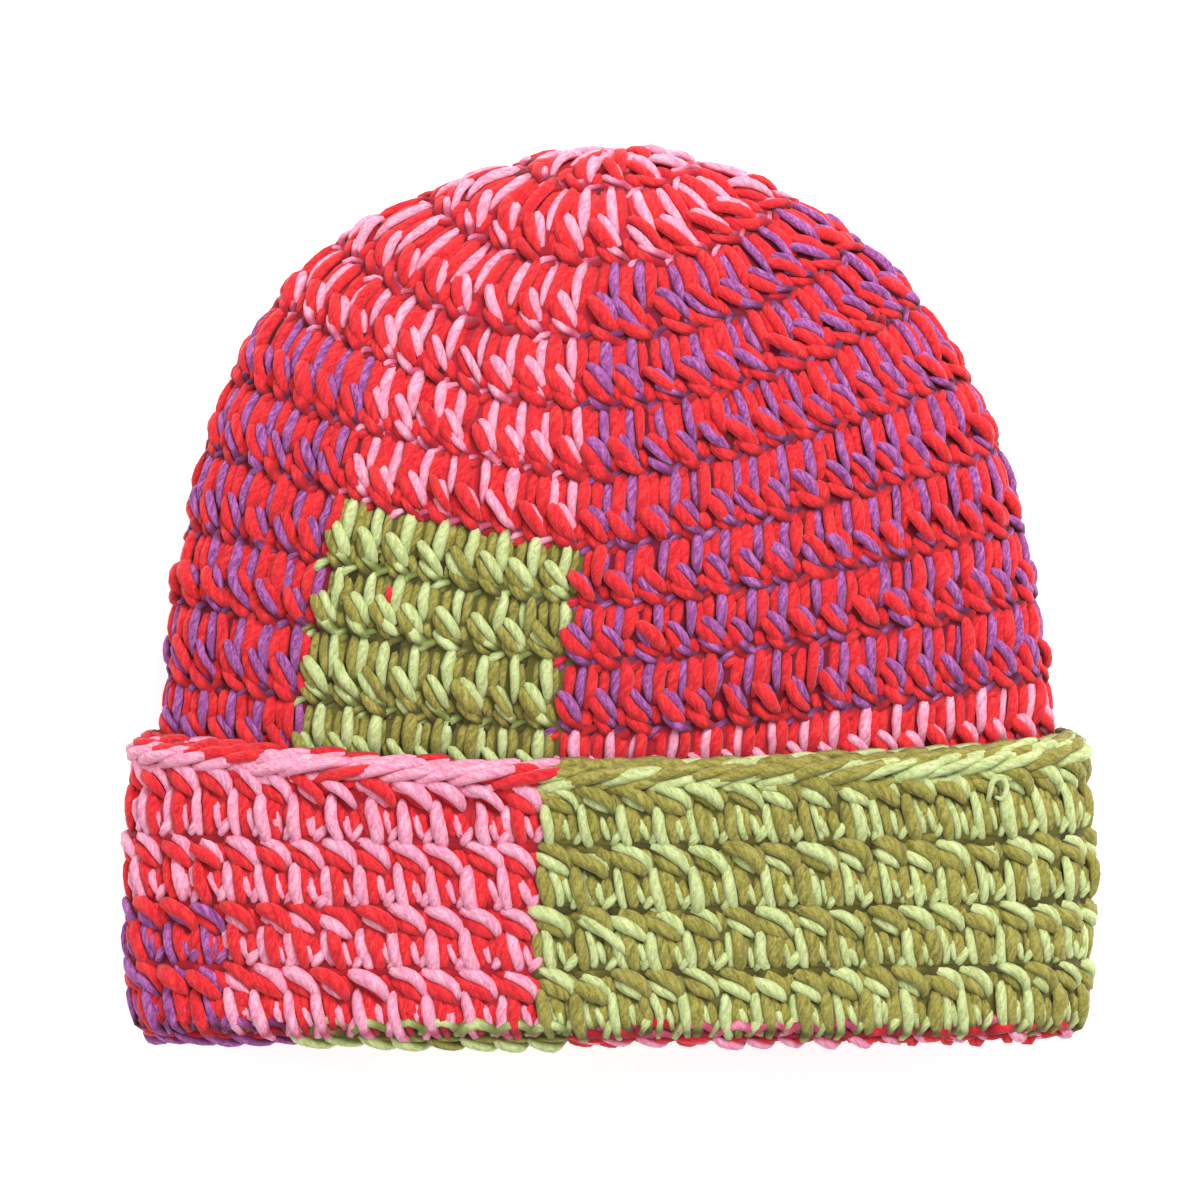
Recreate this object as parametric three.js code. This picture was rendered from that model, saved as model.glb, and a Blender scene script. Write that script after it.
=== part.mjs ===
// A crocheted patchwork beanie with a turned-up cuff, lying on its back.
// Millimetres, +Z up, crown towards +Y, mouth towards -Y, origin under the middle of the hat.
// The fabric is one sheet, worked from the crown down, turned at the fold and brought up again
// as the cuff. A point of it has a round (counted from the crown), a stitch (counted round the
// hat from the left side fold over the front) and a height through the wall.
import * as THREE from "three";

// Overall sizes of the lying hat
const HAT_LENGTH = 227; // crown edge to the fold
const BODY_WIDTH = 228; // flat width of the body where it enters the cuff
const LYING_HEIGHT = 50; // height of the lying hat, body and cuff alike
const CUFF_DEPTH = 72; // fold to the cuff's last round, at the side folds

// The fabric
const WALL = 6; // thickness of the crochet over its ribs
const RIB_DEPTH = 1.1; // depth of the groove between two rounds, on each face
const RIM_SWELL = 0.6; // how far the chain on the cuff's edge is thicker than the wall, each face
const RIM_WIDTH = 5.5; // width of that chain
const CUFF_GAP = 1.2; // space between the cuff and the body behind it
const PATCH_GAP = 0.3; // space between two neighbouring patches
const FLOOR_PRESS = 0.8; // how far the resting face is pressed flat

// The stitch count
const STITCH_COUNT = 60; // stitches in a full round
const HEM_ROUND_COUNT = 4; // rounds of the body inside the cuff
const CUFF_ROUND_COUNT = 4;
const FOLD_SHORT = 0.24; // share of a round by which the fabric is folded before the hem's last round ends
const FOLD_CROWDING = 0.085; // share by which stitches are wider mid-face than the average

// Cross-section: 2 is an ellipse, more is squarer
const BODY_FRONT_SQUARE = 2.3;
const BODY_UNDER_SQUARE = 3.4;
const CUFF_FRONT_SQUARE = 2.6;
const CUFF_UNDER_SQUARE = 3.8;

// How finely a solid is cut
const RING_STEPS = 120; // straight steps in half a round, used to measure along it
const FOLD_STEPS = 4; // straight steps round the turned fold
const FINE_STITCHES = 5; // within this many stitches of a side fold, every stitch has its own facet
const RIB_SHARES = [0, 0.22, 0.78]; // where the facets of one round begin

// Sections of the inner layer, one for each round from the crown. Widths are shares of the
// body's half width, distances from the crown edge shares of the hat's length, heights shares of
// the body's height. bow is how sharply the round curves up to the side folds.
const SECTIONS = [
  { wide: 0.0, side: 0.013, front: 0.013, bow: 3.0, lean: 0.035, top: 0.455, fold: 0.455, under: 0.455 },
  { wide: 0.212, side: 0.027, front: 0.056, bow: 3.0, lean: 0.0, top: 0.69, fold: 0.455, under: 0.236 },
  { wide: 0.41, side: 0.064, front: 0.138, bow: 2.8, lean: -0.005, top: 0.815, fold: 0.455, under: 0.118 },
  { wide: 0.592, side: 0.115, front: 0.222, bow: 2.3, lean: -0.026, top: 0.885, fold: 0.455, under: 0.062 },
  { wide: 0.724, side: 0.181, front: 0.297, bow: 1.9, lean: -0.026, top: 0.925, fold: 0.46, under: 0.048 },
  { wide: 0.825, side: 0.262, front: 0.372, bow: 1.6, lean: -0.02, top: 0.94, fold: 0.465, under: 0.04 },
  { wide: 0.89, side: 0.342, front: 0.448, bow: 1.45, lean: -0.014, top: 0.945, fold: 0.47, under: 0.04 },
  { wide: 0.935, side: 0.429, front: 0.511, bow: 1.4, lean: -0.011, top: 0.935, fold: 0.475, under: 0.042 },
  { wide: 0.968, side: 0.508, front: 0.575, bow: 1.4, lean: -0.008, top: 0.905, fold: 0.48, under: 0.075 },
  { wide: 0.989, side: 0.593, front: 0.65, bow: 1.4, lean: -0.005, top: 0.845, fold: 0.485, under: 0.165 },
  { wide: 1.0, side: 0.67, front: 0.722, bow: 1.4, lean: -0.002, top: 0.785, fold: 0.49, under: 0.235 },
];

// Sections of the cuff, from the fold up. share, side and front are shares of the cuff's straight
// depth: the share of its rounds, and how high that is at the side folds and at the middle. bulge
// and lift are shares of the wall, sideways and upwards.
const CUFF_SECTIONS = [
  { share: 0.0, side: 0.0, front: 0.0, bulge: -0.1, lift: 0.0 },
  { share: 0.22, side: 0.2, front: 0.185, bulge: 0.1, lift: 0.03 },
  { share: 0.48, side: 0.44, front: 0.42, bulge: 0.15, lift: 0.07 },
  { share: 0.74, side: 0.7, front: 0.67, bulge: 0.2, lift: 0.12 },
  { share: 1.0, side: 1.0, front: 0.9, bulge: -0.2, lift: 0.3 },
];
const CUFF_BOW = 1.6;

// How far the columns of stitches have drifted round the hat at a round, in stitches
const DRIFT = [
  { round: 0, stitches: 0 },
  { round: 5, stitches: 0 },
  { round: 10, stitches: -1.5 },
  { round: 14, stitches: -1.1 },
  { round: 19, stitches: -0.8 },
];

// The yarns, each patch worked with two held together
const MARLS = {
  pink: { color: 0xe8546b, roughness: 0.9 },
  purple: { color: 0xc43a5c, roughness: 0.9 },
  green: { color: 0x9aa052, roughness: 0.9 },
};

// The patches: rounds from the crown, stitches from the left side fold. 0 to 30 is the front,
// 30 to 60 the back, and a negative stitch is on the back beside the left fold.
const BODY_END = SECTIONS.length - 1; // the round where the body enters the cuff
const CUFF_START = BODY_END + HEM_ROUND_COUNT;
const CUFF_MIDDLE = CUFF_START + CUFF_ROUND_COUNT / 2;
const RIM_ROUND = CUFF_START + CUFF_ROUND_COUNT;
const FOLD_ROUND = CUFF_START - FOLD_SHORT; // where the fabric turns
const PATCHES = [
  { name: "crown_top", marl: "pink", from: 0, to: 2, left: 0, right: STITCH_COUNT },
  { name: "crown_left", marl: "pink", from: 2, to: 4, left: -15, right: 15 },
  { name: "front_pink", marl: "pink", from: 4, to: 6, left: 7, right: 15 },
  { name: "right_purple", marl: "purple", from: 2, to: 9, left: 15, right: 45 },
  { name: "left_purple", marl: "purple", from: 4, to: BODY_END, left: -7, right: 7 },
  { name: "front_green", marl: "green", from: 6, to: BODY_END, left: 7, right: 15 },
  { name: "right_pink_row", marl: "pink", from: 9, to: BODY_END, left: 15, right: 45 },
  { name: "back_pink", marl: "pink", from: 4, to: 6, left: 45, right: 53 },
  { name: "back_green", marl: "green", from: 6, to: BODY_END, left: 45, right: 53 },
  { name: "hem_purple", marl: "purple", from: BODY_END, to: CUFF_START, left: -7, right: 7 },
  { name: "hem_green", marl: "green", from: BODY_END, to: CUFF_START, left: 7, right: 15 },
  { name: "hem_pink", marl: "pink", from: BODY_END, to: CUFF_START, left: 15, right: 45 },
  { name: "hem_back_green", marl: "green", from: BODY_END, to: CUFF_START, left: 45, right: 53 },
  { name: "cuff_purple", marl: "purple", from: CUFF_START, to: CUFF_MIDDLE, left: -5, right: 5 },
  { name: "cuff_pink_front", marl: "pink", from: CUFF_START, to: CUFF_MIDDLE, left: 5, right: 14 },
  { name: "cuff_pink_back", marl: "pink", from: CUFF_START, to: CUFF_MIDDLE, left: 44, right: 55 },
  { name: "cuff_pink_upper", marl: "pink", from: CUFF_MIDDLE, to: RIM_ROUND, left: -16, right: 14 },
  { name: "cuff_green", marl: "green", from: CUFF_START, to: RIM_ROUND, left: 14, right: 44 },
  { name: "rim_pink", marl: "pink", from: RIM_ROUND, to: RIM_ROUND + 1, left: -16, right: 14 },
  { name: "rim_green", marl: "green", from: RIM_ROUND, to: RIM_ROUND + 1, left: 14, right: 44 },
];

// Sizes worked out from those above
const CROWN_Y = HAT_LENGTH / 2; // the crown's edge, with the fold as far below the middle
const LAYER_STEP = WALL + CUFF_GAP; // from the middle of the body's wall to the cuff's
const TURN_RADIUS = LAYER_STEP / 2; // of the wall's middle round the fold
const TURN_START_Y = -HAT_LENGTH / 2 + WALL / 2 + TURN_RADIUS;
const HEM_ROUND_HEIGHT = (TURN_RADIUS * Math.PI) / 2 + CROWN_Y - TURN_START_Y
  - (HAT_LENGTH * (SECTIONS[BODY_END].side + SECTIONS[BODY_END].front)) / 2;
const TURN_ROUNDS = ((FOLD_ROUND - BODY_END) * (TURN_RADIUS * Math.PI) / 2) / HEM_ROUND_HEIGHT;
const TURN_START = FOLD_ROUND - TURN_ROUNDS;
const TURN_END = FOLD_ROUND + TURN_ROUNDS;
const CUFF_RISE = CUFF_DEPTH - WALL / 2 - TURN_RADIUS; // straight part of the cuff at its sides
const HALF_WIDTH = (BODY_WIDTH - WALL) / 2;
const HEM_TOP = LYING_HEIGHT - WALL / 2 - LAYER_STEP; // middle of the body's front wall in the cuff
const HEM_UNDER = WALL / 2 + LAYER_STEP; // and of its back wall
const HEM_FOLD = LYING_HEIGHT / 2; // height of the side folds in the cuff

const mix = (a, b, share) => a + (b - a) * share;

// Smooth curve through equally spaced values. Past the crown a value turns sign if it is odd.
function curveThrough(values, place, odd) {
  const last = values.length - 1;
  const i = Math.min(Math.max(Math.floor(place), 0), last - 1);
  const at = (k) => {
    if (k < 0) return odd ? 2 * values[0] - values[-k] : values[-k];
    return k > last ? 2 * values[last] - values[last - 1] : values[k];
  };
  const [a, b, c, d] = [at(i - 1), at(i), at(i + 1), at(i + 2)];
  const u = place - i;
  return b + 0.5 * u * (c - a + u * (2 * a - 5 * b + 4 * c - d + u * (3 * (b - c) + d - a)));
}

const column = (table, key) => table.map((row) => row[key]);

// The section of the body's wall at a round, by the middle of the wall
function bodySection(round) {
  const place = Math.min(round, BODY_END);
  const read = (key, odd = false) => curveThrough(column(SECTIONS, key), place, odd);
  const fold = read("fold") * LYING_HEIGHT;
  const oddHeight = (key) => {
    const above = SECTIONS.map((row) => row[key] - row.fold);
    return fold + curveThrough(above, place, true) * LYING_HEIGHT;
  };
  const section = {
    width: read("wide", true) * HALF_WIDTH,
    sideY: CROWN_Y - read("side") * HAT_LENGTH,
    frontY: CROWN_Y - read("front") * HAT_LENGTH,
    bow: read("bow"),
    lean: read("lean") * HALF_WIDTH,
    top: oddHeight("top"),
    fold,
    under: oddHeight("under") - FLOOR_PRESS,
    frontSquare: BODY_FRONT_SQUARE,
    underSquare: BODY_UNDER_SQUARE,
  };
  if (round <= BODY_END) return section;
  const down = (round - BODY_END) / (TURN_START - BODY_END);
  const settle = down * (2 - down);
  section.sideY = mix(section.sideY, TURN_START_Y, down);
  section.frontY = mix(section.frontY, TURN_START_Y, down);
  section.lean = mix(section.lean, 0, settle);
  section.width = mix(section.width, HALF_WIDTH + CUFF_GAP, settle);
  section.top = mix(section.top, HEM_TOP, settle);
  section.fold = mix(section.fold, HEM_FOLD, settle);
  section.under = mix(section.under, HEM_UNDER - FLOOR_PRESS, settle);
  return section;
}

// The section of the cuff's wall at a round past the fold
function cuffSection(round) {
  const share = (round - TURN_END) / (RIM_ROUND - TURN_END);
  const next = Math.max(1, CUFF_SECTIONS.findIndex((row) => row.share >= Math.min(share, 1)));
  const [a, b] = [CUFF_SECTIONS[next - 1], CUFF_SECTIONS[next]];
  const read = (key) => mix(a[key], b[key], Math.min((share - a.share) / (b.share - a.share), 1));
  const rim = Math.max(round - RIM_ROUND, 0) * RIM_WIDTH;
  const hem = bodySection(TURN_START);
  return {
    width: hem.width + LAYER_STEP + read("bulge") * WALL,
    sideY: TURN_START_Y + read("side") * CUFF_RISE + rim,
    frontY: TURN_START_Y + read("front") * CUFF_RISE + rim,
    bow: CUFF_BOW,
    lean: 0,
    top: hem.top + LAYER_STEP + read("lift") * WALL,
    fold: hem.fold,
    under: hem.under - LAYER_STEP,
    frontSquare: CUFF_FRONT_SQUARE,
    underSquare: CUFF_UNDER_SQUARE,
  };
}

// A point of a section: angle -90 is the left side fold, 0 the front centre, 90 the right fold
function sectionPoint(s, angle, front) {
  const power = 2 / (front ? s.frontSquare : s.underSquare);
  const across = Math.sign(Math.sin(angle)) * Math.abs(Math.sin(angle)) ** power;
  const up = Math.abs(Math.cos(angle)) ** power;
  return new THREE.Vector3(
    s.lean + s.width * across,
    s.frontY + (s.sideY - s.frontY) * Math.abs(across) ** s.bow,
    s.fold + ((front ? s.top : s.under) - s.fold) * up,
  );
}

// Half a round as even steps of its own length, so that its stitches are equally wide
const halves = new Map();
function halfRound(round, front) {
  const key = `${round.toFixed(6)} ${front}`;
  if (halves.has(key)) return halves.get(key);
  const section = round <= TURN_START ? bodySection(round) : cuffSection(round);
  const points = [];
  const lengths = [0];
  for (let i = 0; i <= RING_STEPS; i++) {
    const angle = (i / RING_STEPS - 0.5) * Math.PI;
    points.push(sectionPoint(section, front ? angle : -angle, front));
    if (i) lengths.push(lengths[i - 1] + points[i].distanceTo(points[i - 1]));
  }
  const half = { points, lengths, total: lengths[RING_STEPS] };
  halves.set(key, half);
  return half;
}

// A point on the middle of the wall of a straight stretch
function layerPoint(round, stitch) {
  const turn = (((stitch / STITCH_COUNT) % 1) + 1) % 1;
  const front = turn < 0.5;
  const { points, lengths, total } = halfRound(round, front);
  const even = (front ? turn : turn - 0.5) * 2;
  const along = (even - (FOLD_CROWDING / (2 * Math.PI)) * Math.sin(2 * Math.PI * even)) * total;
  let i = lengths.findIndex((length) => length > along);
  if (i < 1) i = i === 0 ? 1 : RING_STEPS;
  const step = lengths[i] - lengths[i - 1];
  return points[i - 1].clone().lerp(points[i], step > 0 ? (along - lengths[i - 1]) / step : 0);
}

// A point on the middle of the wall, through the turn at the fold as well
function wallPoint(round, stitch) {
  if (round <= TURN_START || round >= TURN_END) return layerPoint(round, stitch);
  const inside = layerPoint(TURN_START, stitch);
  const outside = layerPoint(TURN_END, stitch);
  const turned = (Math.PI * (round - TURN_START)) / (TURN_END - TURN_START);
  const point = inside.clone().lerp(outside, (1 - Math.cos(turned)) / 2);
  point.y -= TURN_RADIUS * Math.sin(turned);
  return point;
}

// Where a stitch of the first rounds' count is once its column has drifted
function drifted(stitch, round) {
  const next = Math.max(1, DRIFT.findIndex((row) => row.round >= round));
  const [a, b] = [DRIFT[next - 1], DRIFT[next]];
  return stitch + mix(a.stitches, b.stitches, (round - a.round) / (b.round - a.round));
}

// The direction out of the fabric's right side, which is outwards on the body
const PROBE_ROUND = 0.02;
const PROBE_STITCH = 0.1;
function wallNormal(round, stitch) {
  const low = Math.max(round - PROBE_ROUND, PROBE_ROUND / 2);
  const along = wallPoint(low + 2 * PROBE_ROUND, stitch).sub(wallPoint(low, stitch));
  const across = wallPoint(Math.max(round, PROBE_ROUND), stitch + PROBE_STITCH)
    .sub(wallPoint(Math.max(round, PROBE_ROUND), stitch - PROBE_STITCH));
  return along.cross(across).normalize();
}

// Half the wall's thickness at a round: full over a rib, less in the groove between two
function halfWall(round) {
  if (round > RIM_ROUND) return WALL / 2 + RIM_SWELL;
  if (round > TURN_START && round < TURN_END) return WALL / 2;
  const share = round - Math.floor(round + 1e-6);
  const isGroove = Math.min(share, 1 - share) < RIB_SHARES[1] / 2;
  return WALL / 2 - (isGroove && round > RIB_SHARES[1] ? RIB_DEPTH : 0);
}

// A point of the solid: side 1 is the right side's face, -1 the wrong side's. Nothing is below
// the surface that the hat rests on.
function facePoint(round, stitch, side, half) {
  const point = wallPoint(round, stitch);
  const normal = round > 0 ? wallNormal(round, stitch) : new THREE.Vector3(0, 1, 0);
  point.addScaledVector(normal, side * half);
  point.z = Math.max(point.z, 0);
  return point;
}

// The rounds at which a patch's facets begin, inset by half the gap at both ends
function roundLines({ from, to }) {
  const lines = [];
  for (let k = Math.floor(from); k < to; k++) {
    for (const share of RIB_SHARES) lines.push({ round: k + share });
  }
  for (let i = 0; i <= FOLD_STEPS; i++) {
    lines.push({ round: mix(TURN_START, TURN_END, i / FOLD_STEPS) });
  }
  const inset = PATCH_GAP / 2 / (HEM_ROUND_HEIGHT / (FOLD_ROUND - BODY_END));
  const near = RIB_SHARES[1] / 3;
  const kept = lines
    .filter(({ round }) => round > from + near && round < to - near)
    .sort((a, b) => a.round - b.round)
    .filter(({ round }, i, all) => !i || round - all[i - 1].round > near);
  const ends = [from, to].map((edge) => ({
    round: edge === 0 ? 0 : edge + (edge === from ? inset : -inset),
    half: edge > RIM_ROUND ? (WALL / 2 + RIM_SWELL) / 2 : halfWall(edge),
  }));
  return [ends[0], ...kept, ends[1]].map(({ round, half }) => ({ round, half: half ?? halfWall(round) }));
}

// The stitches at which a patch's facets begin, inset in the same way
function stitchLines({ left, right }) {
  const lines = [left];
  for (let c = Math.floor(left) + 1; c < right; c++) {
    const toFold = Math.abs(c - Math.round(c / (STITCH_COUNT / 2)) * (STITCH_COUNT / 2));
    if (c % 2 || toFold <= FINE_STITCHES) lines.push(c);
  }
  return [...lines, right];
}

// A patch as one closed solid: its two faces and the walls that join them
function patchGeometry(patch) {
  const rounds = roundLines(patch);
  const stitches = stitchLines(patch);
  const isRing = patch.right - patch.left === STITCH_COUNT;
  const hasPole = patch.from === 0;
  const columns = isRing ? stitches.length - 1 : stitches.length;
  const pitch = halfRound(BODY_END, true).total / (STITCH_COUNT / 2);
  const inset = PATCH_GAP / 2 / pitch;
  const positions = [];
  const index = { 1: [], "-1": [] };
  for (const side of [1, -1]) {
    rounds.forEach(({ round, half }, i) => {
      const row = [];
      for (let j = 0; j < columns; j++) {
        if (hasPole && i === 0 && j > 0) {
          row.push(row[0]);
          continue;
        }
        const edge = isRing ? 0 : (j === 0) - (j === columns - 1);
        const girth = halfRound(Math.min(Math.max(round, 1), BODY_END), true).total;
        const scale = halfRound(BODY_END, true).total / girth;
        const stitch = drifted(stitches[j], round) + edge * inset * scale;
        row.push(positions.length / 3);
        positions.push(...facePoint(round, stitch, side, half).toArray());
      }
      index[side].push(row);
    });
  }
  const faces = [];
  const quad = (a, b, c, d) => {
    if (a !== b && b !== c && a !== c) faces.push(a, b, c);
    if (a !== d && d !== c && a !== c) faces.push(a, c, d);
  };
  const spans = isRing ? columns : columns - 1;
  const [right, wrong] = [index[1], index[-1]];
  for (let i = 0; i < rounds.length - 1; i++) {
    for (let j = 0; j < spans; j++) {
      const n = (j + 1) % columns;
      quad(right[i][j], right[i + 1][j], right[i + 1][n], right[i][n]);
      quad(wrong[i][j], wrong[i][n], wrong[i + 1][n], wrong[i + 1][j]);
    }
    if (isRing) continue;
    const e = columns - 1;
    quad(right[i][0], wrong[i][0], wrong[i + 1][0], right[i + 1][0]);
    quad(right[i][e], right[i + 1][e], wrong[i + 1][e], wrong[i][e]);
  }
  const last = rounds.length - 1;
  for (let j = 0; j < spans; j++) {
    const n = (j + 1) % columns;
    if (!hasPole) quad(right[0][j], right[0][n], wrong[0][n], wrong[0][j]);
    quad(right[last][j], wrong[last][j], wrong[last][n], right[last][n]);
  }
  const geometry = new THREE.BufferGeometry();
  geometry.setAttribute("position", new THREE.Float32BufferAttribute(positions, 3));
  geometry.setIndex(faces);
  return geometry;
}

const beanie = new THREE.Group();
for (const patch of PATCHES) {
  const material = new THREE.MeshStandardMaterial({ ...MARLS[patch.marl], metalness: 0 });
  const mesh = new THREE.Mesh(patchGeometry(patch), material);
  mesh.name = patch.name;
  beanie.add(mesh);
}

export default beanie;
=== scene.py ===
"""A crocheted patchwork beanie with a turned-up cuff, lying on its back on a white surface.

The fabric is one sheet: a point of it has a round, counted from the crown, a stitch, counted from
the left side fold over the front, and a height over the middle of the wall, in millimetres. Every
stitch is made of yarns, in pairs and singly, that run over that sheet. The hat's frame is the model's:
+X to the right over the front, +Y to the crown, +Z up.
"""
import math

import bpy
import numpy as np
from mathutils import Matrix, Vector


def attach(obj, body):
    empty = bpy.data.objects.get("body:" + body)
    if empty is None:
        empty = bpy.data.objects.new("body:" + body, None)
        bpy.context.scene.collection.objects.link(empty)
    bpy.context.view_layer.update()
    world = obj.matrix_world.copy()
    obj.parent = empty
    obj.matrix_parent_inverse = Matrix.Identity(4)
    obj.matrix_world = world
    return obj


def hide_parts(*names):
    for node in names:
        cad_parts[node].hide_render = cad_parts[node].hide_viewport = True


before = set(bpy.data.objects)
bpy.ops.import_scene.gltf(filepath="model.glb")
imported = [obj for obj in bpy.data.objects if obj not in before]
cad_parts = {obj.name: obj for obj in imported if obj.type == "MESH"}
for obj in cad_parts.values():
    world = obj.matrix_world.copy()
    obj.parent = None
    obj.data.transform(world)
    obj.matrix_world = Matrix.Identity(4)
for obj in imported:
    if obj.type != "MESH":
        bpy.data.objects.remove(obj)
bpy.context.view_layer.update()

MM = 0.001

# The hat, as the model has it, in millimetres
HAT_LENGTH = 227
BODY_WIDTH = 228
BODY_HEIGHT = 50
CUFF_HEIGHT = 50
CUFF_DEPTH = 72
WALL = 6
RIB_DEPTH = 0.9
RIM_WIDTH = 5.5
CUFF_GAP = 1.2
FLOOR_PRESS = 0.8

# How many stitches a full round and the first round have, and the rounds where the body, the hem and
# the cuff end
STITCHES = 60
HALF_STITCHES = STITCHES / 2
FIRST_STITCHES = 12
BODY_ROUNDS = 10
CUFF_START = 14
RIM_ROUND = 18

# How far before the cuff's first round the fold lies, in rounds, and how much closer together the
# stitches stand at the side folds, as a share
FOLD_SHORT = 0.24
FOLD_CROWDING = 0.085

# How square the front and the under half of a section are, where 2 is an ellipse, and how sharply the
# cuff's rounds curve up to the side folds
BODY_FRONT_SQUARE = 2.3
BODY_UNDER_SQUARE = 3.4
CUFF_FRONT_SQUARE = 2.6
CUFF_UNDER_SQUARE = 3.8
CUFF_BOW = 1.6

# Sections of the body, one a round from the crown: half width as a share of the body's, distance
# from the crown edge at the side folds and mid-front as shares of the length, how sharply the round
# curves up to the folds, sideways lean, and the heights of the front, the side folds and the back
SECTIONS = {
    "wide": [0.0, 0.212, 0.41, 0.592, 0.724, 0.825, 0.89, 0.935, 0.968, 0.989, 1.0],
    "side": [0.013, 0.027, 0.064, 0.115, 0.181, 0.262, 0.342, 0.429, 0.508, 0.593, 0.67],
    "front": [0.013, 0.056, 0.138, 0.222, 0.297, 0.372, 0.448, 0.511, 0.575, 0.65, 0.722],
    "bow": [3.0, 3.0, 2.8, 2.3, 1.9, 1.6, 1.45, 1.4, 1.4, 1.4, 1.4],
    "lean": [0.035, 0.0, -0.005, -0.026, -0.026, -0.02, -0.014, -0.011, -0.008, -0.005, -0.002],
    "top": [0.455, 0.69, 0.815, 0.885, 0.925, 0.94, 0.945, 0.935, 0.905, 0.845, 0.785],
    "fold": [0.455, 0.455, 0.455, 0.455, 0.46, 0.465, 0.47, 0.475, 0.48, 0.485, 0.49],
    "under": [0.455, 0.236, 0.118, 0.062, 0.048, 0.04, 0.04, 0.042, 0.075, 0.165, 0.235],
}

# Sections of the cuff, as shares of its straight depth and of the wall
CUFF_SECTIONS = {
    "share": [0.0, 0.22, 0.48, 0.74, 1.0],
    "side": [0.0, 0.2, 0.44, 0.7, 1.0],
    "front": [0.0, 0.185, 0.42, 0.67, 0.9],
    "bulge": [-0.1, 0.1, 0.15, 0.2, -0.2],
    "lift": [0.0, 0.03, 0.07, 0.12, 0.3],
}

# How far the columns of stitches have drifted round the hat at a round, in stitches
DRIFT = {
    "round": [0, 5, 10, 14, 19],
    "stitches": [0, 0, -1.5, -1.1, -0.8],
}

CROWN_Y = HAT_LENGTH / 2
LAYER_STEP = WALL + CUFF_GAP
TURN_RADIUS = LAYER_STEP / 2
TURN_START_Y = -HAT_LENGTH / 2 + WALL / 2 + TURN_RADIUS
FOLD_ROUND = CUFF_START - FOLD_SHORT
BODY_END_SHARE = (SECTIONS["side"][-1] + SECTIONS["front"][-1]) / 2
TURN_QUARTER = TURN_RADIUS * math.pi / 2
HEM_DEPTH = TURN_QUARTER + CROWN_Y - TURN_START_Y - HAT_LENGTH * BODY_END_SHARE
TURN_ROUNDS = (FOLD_ROUND - BODY_ROUNDS) * TURN_QUARTER / HEM_DEPTH
TURN_START = FOLD_ROUND - TURN_ROUNDS
TURN_END = FOLD_ROUND + TURN_ROUNDS
CUFF_RISE = CUFF_DEPTH - WALL / 2 - TURN_RADIUS
HALF_WIDTH = (BODY_WIDTH - WALL) / 2
HEM_TOP = CUFF_HEIGHT - WALL / 2 - LAYER_STEP
HEM_UNDER = WALL / 2 + LAYER_STEP
HEM_FOLD = CUFF_HEIGHT / 2


def through(values, place, odd=False):
    """Smooth curve through equally spaced values. Past the first one it turns sign if it is odd."""
    before = 2 * values[0] - values[1] if odd else values[1]
    known = [before, *values, 2 * values[-1] - values[-2]]
    i = int(min(max(math.floor(place), 0), len(values) - 2))
    a, b, c, d = known[i:i + 4]
    u = place - i
    return b + 0.5 * u * (c - a + u * (2 * a - 5 * b + 4 * c - d + u * (3 * (b - c) + d - a)))


def body_section(place):
    """The middle of the body's wall at a round."""
    held = min(place, BODY_ROUNDS)

    def read(key, odd=False):
        return through(SECTIONS[key], held, odd)

    def read_height(key):
        above = [value - fold for value, fold in zip(SECTIONS[key], SECTIONS["fold"])]
        return (read("fold") + through(above, held, True)) * BODY_HEIGHT

    s = {
        "width": read("wide", True) * HALF_WIDTH,
        "side_y": CROWN_Y - read("side") * HAT_LENGTH,
        "front_y": CROWN_Y - read("front") * HAT_LENGTH,
        "bow": read("bow"),
        "lean": read("lean") * HALF_WIDTH,
        "top": read_height("top"),
        "fold": read("fold") * BODY_HEIGHT,
        "under": read_height("under") - FLOOR_PRESS,
        "front_square": BODY_FRONT_SQUARE,
        "under_square": BODY_UNDER_SQUARE,
    }
    if place <= BODY_ROUNDS:
        return s
    down = (place - BODY_ROUNDS) / (TURN_START - BODY_ROUNDS)
    settle = down * (2 - down)
    hem = {
        "side_y": (TURN_START_Y, down),
        "front_y": (TURN_START_Y, down),
        "lean": (0, settle),
        "width": (HALF_WIDTH + CUFF_GAP, settle),
        "top": (HEM_TOP, settle),
        "fold": (HEM_FOLD, settle),
        "under": (HEM_UNDER - FLOOR_PRESS, settle),
    }
    for key, (end, share) in hem.items():
        s[key] += (end - s[key]) * share
    return s


def cuff_section(place):
    """The middle of the cuff's wall at a round past the fold."""
    share = (place - TURN_END) / (RIM_ROUND - TURN_END)

    def read(key):
        return float(np.interp(share, CUFF_SECTIONS["share"], CUFF_SECTIONS[key]))

    rim = max(place - RIM_ROUND, 0) * RIM_WIDTH
    hem = body_section(TURN_START)
    return {
        "width": hem["width"] + LAYER_STEP + read("bulge") * WALL,
        "side_y": TURN_START_Y + read("side") * CUFF_RISE + rim,
        "front_y": TURN_START_Y + read("front") * CUFF_RISE + rim,
        "bow": CUFF_BOW,
        "lean": 0,
        "top": hem["top"] + LAYER_STEP + read("lift") * WALL,
        "fold": hem["fold"],
        "under": hem["under"] - LAYER_STEP,
        "front_square": CUFF_FRONT_SQUARE,
        "under_square": CUFF_UNDER_SQUARE,
    }


# How finely the sheet is tabulated, in steps of a half round, a stitch and a round, and the places where
# it starts and ends, in rounds
RING_STEPS = 240
STEPS_PER_STITCH = 4
STEPS_PER_ROUND = 20
SHEET_START = 1e-4
SHEET_END = 19.5


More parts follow.
